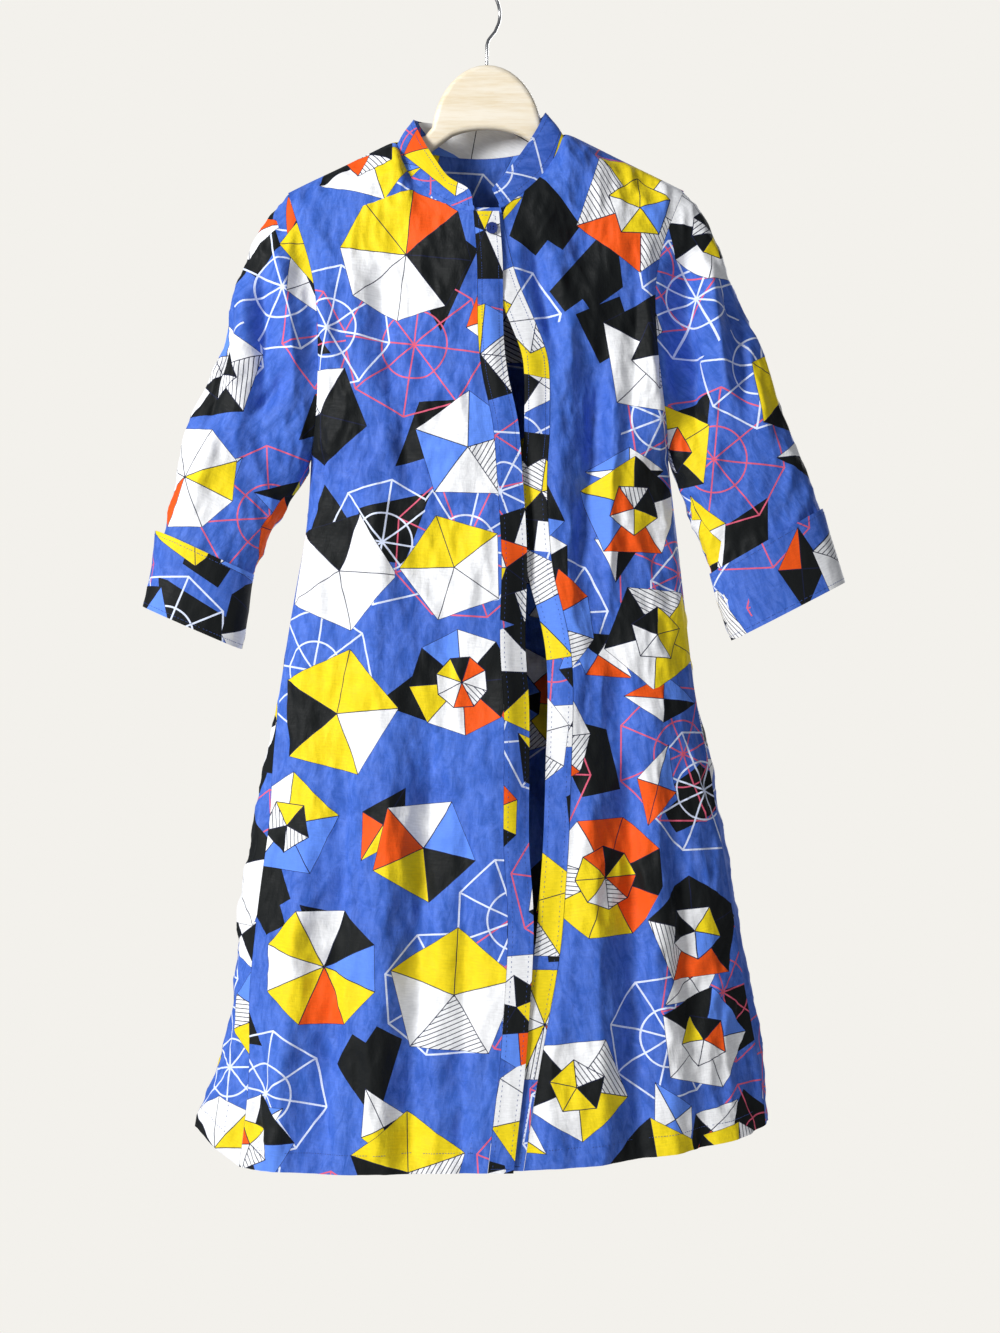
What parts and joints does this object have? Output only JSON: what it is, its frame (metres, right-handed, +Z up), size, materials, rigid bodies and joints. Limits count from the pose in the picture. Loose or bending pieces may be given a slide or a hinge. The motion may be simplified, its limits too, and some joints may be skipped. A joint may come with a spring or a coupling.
{
  "type": "ankara wax print dress on a wooden hanger",
  "caption": "Knee-length A-line wax print shirt dress with a stand collar, banded front opening and turned-up three-quarter sleeves, hung on a flat wooden hanger.",
  "frame": {"origin": "inside of the top of the hanger's hook, where it rests on a rail or peg", "axes": "+Z up, -Y out of the dress's front, +X toward the wearer's left sleeve"},
  "size_m": [0.7015, 0.1614, 1.1735],
  "materials": {
    "wax_print": "plain-woven cotton with a crisp wax print",
    "wax_print_interfaced": "the same cotton, two layers over interfacing",
    "button": "gloss",
    "birch": "satin lacquer",
    "hook_wire": "bright"
  },
  "bodies": {
    "root": {"front_right": "wax_print", "front_left": "wax_print", "back": "wax_print", "sleeve_right": "wax_print", "sleeve_left": "wax_print", "band_right": "wax_print_interfaced", "band_left": "wax_print_interfaced", "collar": "wax_print_interfaced", "cuff_right": "wax_print_interfaced", "cuff_left": "wax_print_interfaced", "button": "button", "hanger": "birch", "hook": "hook_wire"}
  },
  "joints": []
}
